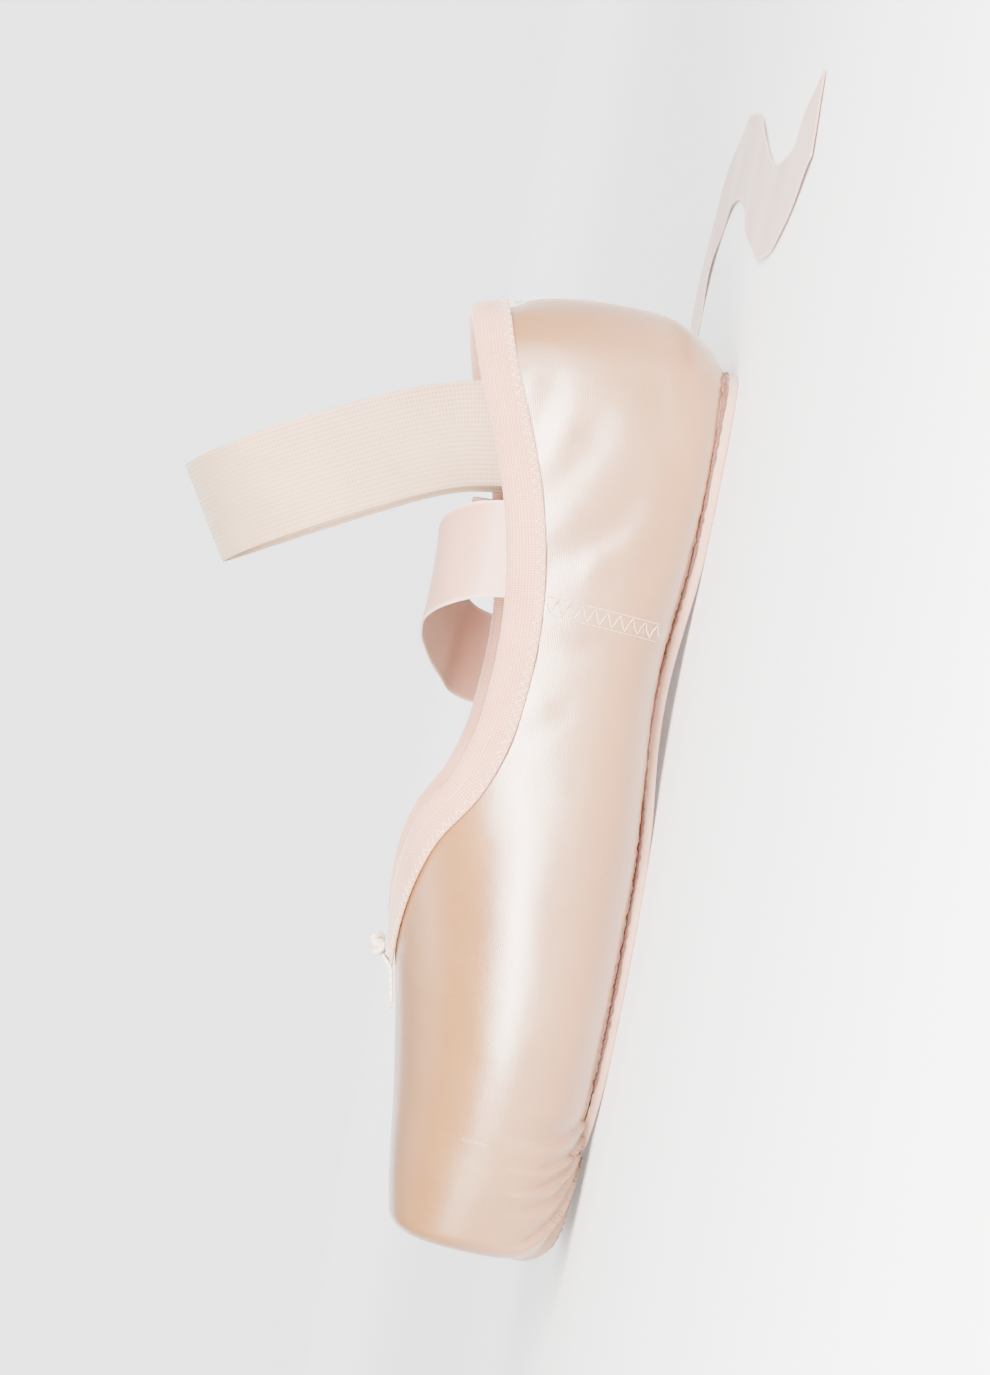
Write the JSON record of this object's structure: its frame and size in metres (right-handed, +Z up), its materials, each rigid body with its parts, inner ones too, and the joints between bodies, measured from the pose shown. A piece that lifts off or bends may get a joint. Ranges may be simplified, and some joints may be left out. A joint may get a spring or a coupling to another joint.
{
  "type": "pointe shoe",
  "caption": "Satin pointe shoe on a straight last, empty and flat on its sole, with a stiff toe box and platform, folded collar binding, ankle elastic hoop and loose ribbons",
  "frame": {"origin": "on the floor under the middle of the shoe's length and width, measured without the free ribbons", "axes": "+Z up, toe towards -Y and heel towards +Y, X across the shoe, which is the same on both sides"},
  "size_m": [0.2508, 0.3065, 0.1271],
  "materials": {
    "satin": "peach satin over canvas, glossy along the length",
    "sole_leather": "matt buffed leather",
    "lining": "plain cotton drill",
    "binding": "matt folded cotton tape",
    "drawstring": "cotton cord",
    "elastic": "woven elastic",
    "ribbon": "pale double-faced satin"
  },
  "bodies": {
    "root": {"upper": "satin", "outsole": "sole_leather", "insole": "lining", "collar_binding": "binding", "drawstring_knot": "drawstring", "ankle_elastic": "elastic", "ribbon_left": "ribbon", "ribbon_right": "ribbon"}
  },
  "joints": []
}
